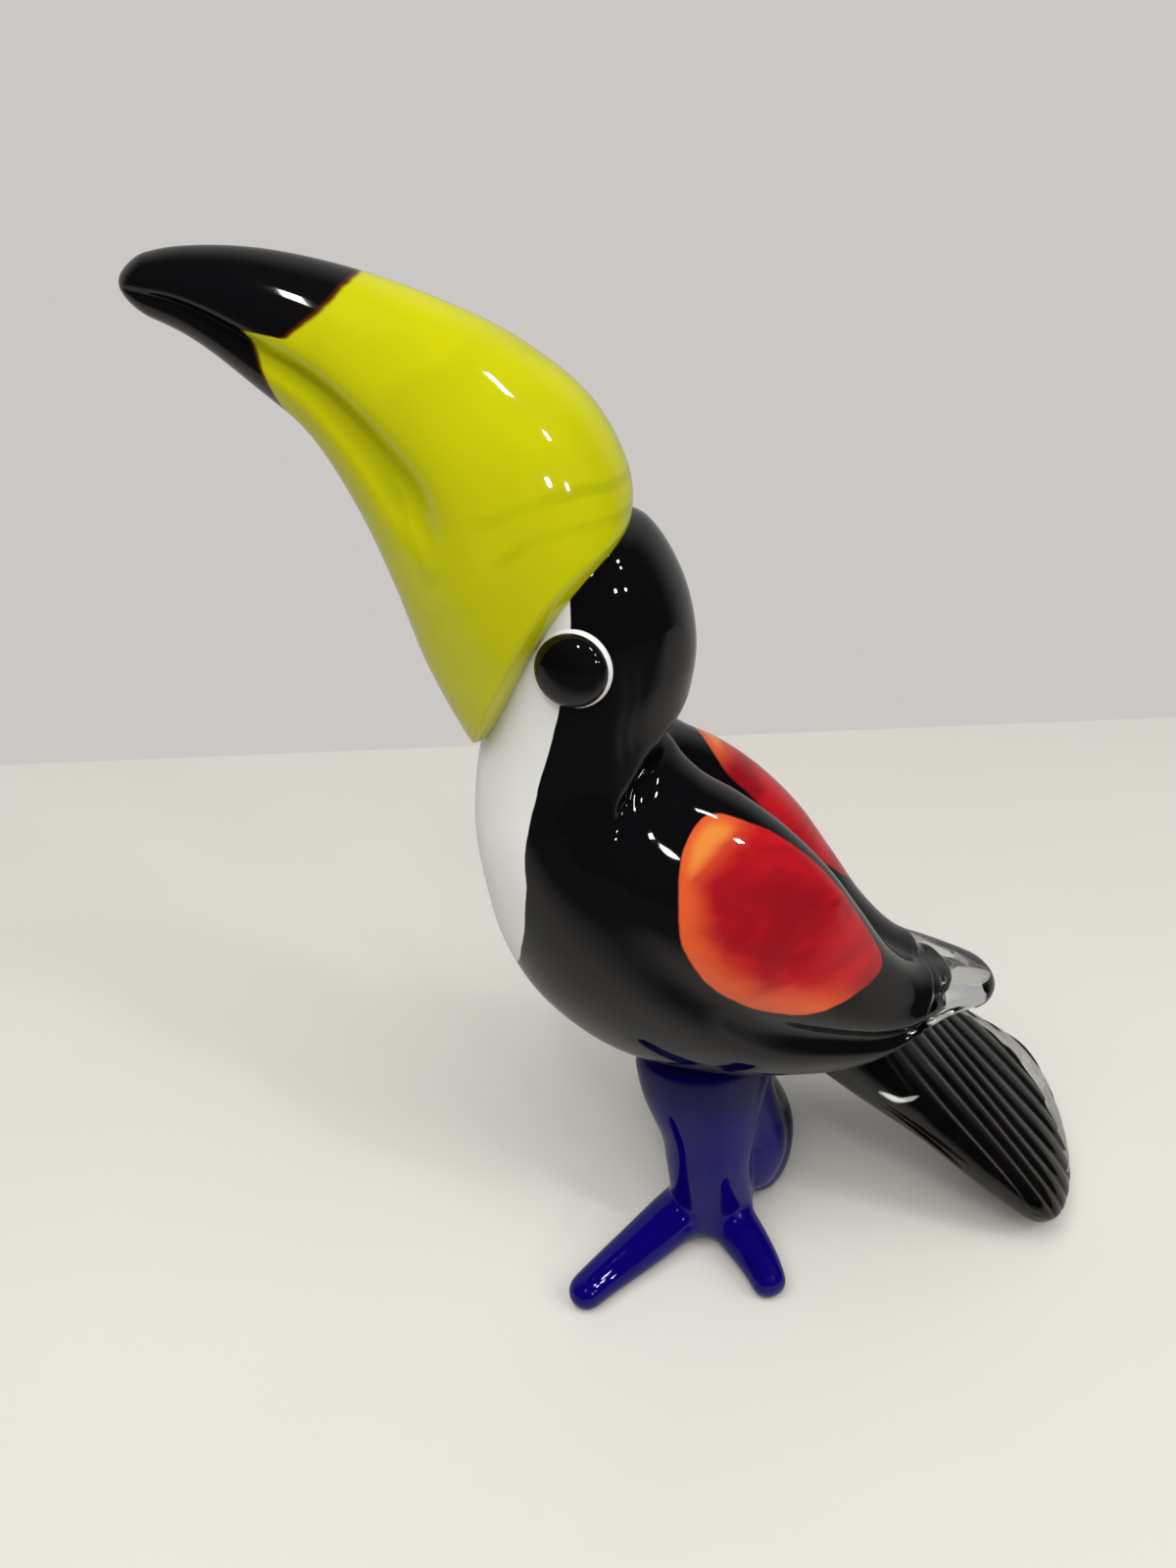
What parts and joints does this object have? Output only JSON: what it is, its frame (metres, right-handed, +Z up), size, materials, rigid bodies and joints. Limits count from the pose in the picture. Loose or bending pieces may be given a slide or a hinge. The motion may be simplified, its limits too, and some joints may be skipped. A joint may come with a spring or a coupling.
{
  "type": "toucan figurine",
  "caption": "Standing glass toucan with a large curved bill, upright neck, folded wings with coloured patches, a ribbed tail fan and fused legs with splayed toes.",
  "frame": {"origin": "middle of the figurine's outline, on the plane of the surface that it stands on", "axes": "+Z up, the bird faces -X and its tail points along +X, its left side is towards -Y, and the body's middle plane is y = 0"},
  "size_m": [0.274, 0.095, 0.3057],
  "materials": {
    "black_glass": "fire-polished, high gloss, opaque black cased in clear, with white breast and red and orange wing patches",
    "yellow_glass": "fire-polished, high gloss, opaque yellow with a black tip",
    "tail_glass": "fire-polished, high gloss, clear over a black ribbed core",
    "cobalt_glass": "fire-polished, high gloss, transparent cobalt blue",
    "white_glass": "fire-polished, high gloss, opaque white",
    "eye_glass": "fire-polished, high gloss, opaque black"
  },
  "bodies": {
    "root": {"body": "black_glass", "bill": "yellow_glass", "tail": "tail_glass", "legs": "cobalt_glass", "eye_white_left": "white_glass", "eye_white_right": "white_glass", "eye_black_left": "eye_glass", "eye_black_right": "eye_glass"}
  },
  "joints": []
}
